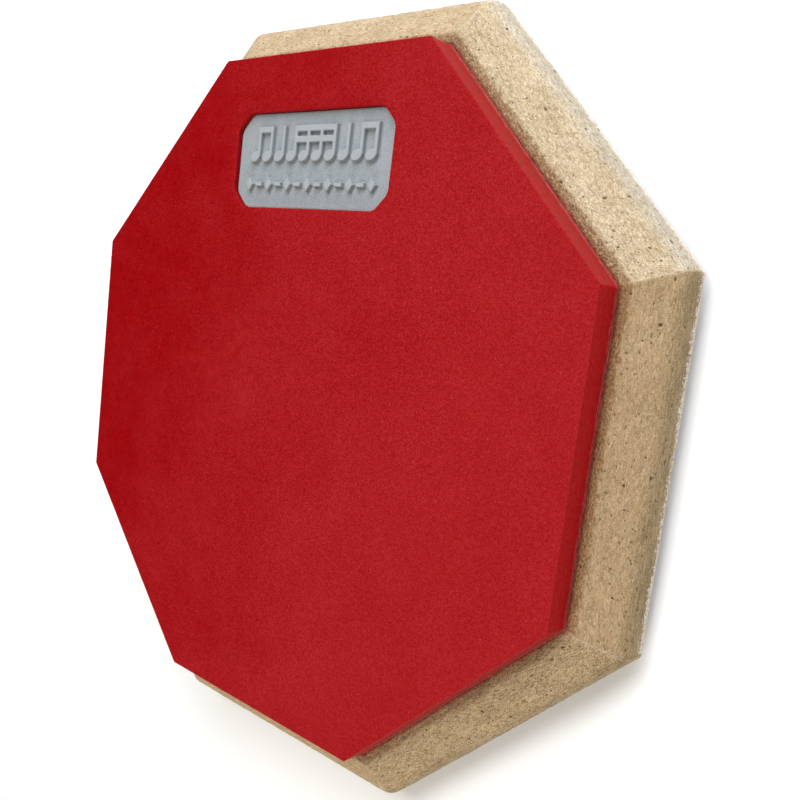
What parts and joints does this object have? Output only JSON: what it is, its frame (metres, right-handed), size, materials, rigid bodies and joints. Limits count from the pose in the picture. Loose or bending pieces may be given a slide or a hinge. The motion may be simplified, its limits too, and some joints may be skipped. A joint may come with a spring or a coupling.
{
  "type": "practice pad",
  "caption": "Octagonal drum practice pad: a thick solid rubber playing surface with a raised-relief badge set into it, glued to a bevelled chipboard base with a thin foam underside.",
  "frame": {"origin": "centre of the underside of the foam backing, at the bottom of the bounding box", "axes": "+Z out of the playing face, +Y from the centre towards the side with the badge, +X to the right as the badge is read"},
  "size_m": [0.227, 0.227, 0.0275],
  "materials": {
    "chipboard": "matte",
    "red_rubber": "matte",
    "grey_rubber": "matte",
    "dried_glue": "satin",
    "dark_foam": "matte"
  },
  "bodies": {
    "root": {"playing_surface": "red_rubber", "badge_insert": "grey_rubber", "base_board": "chipboard", "surface_adhesive": "dried_glue", "badge_adhesive": "dried_glue", "backing_adhesive": "dried_glue", "nonslip_backing": "dark_foam"}
  },
  "joints": []
}
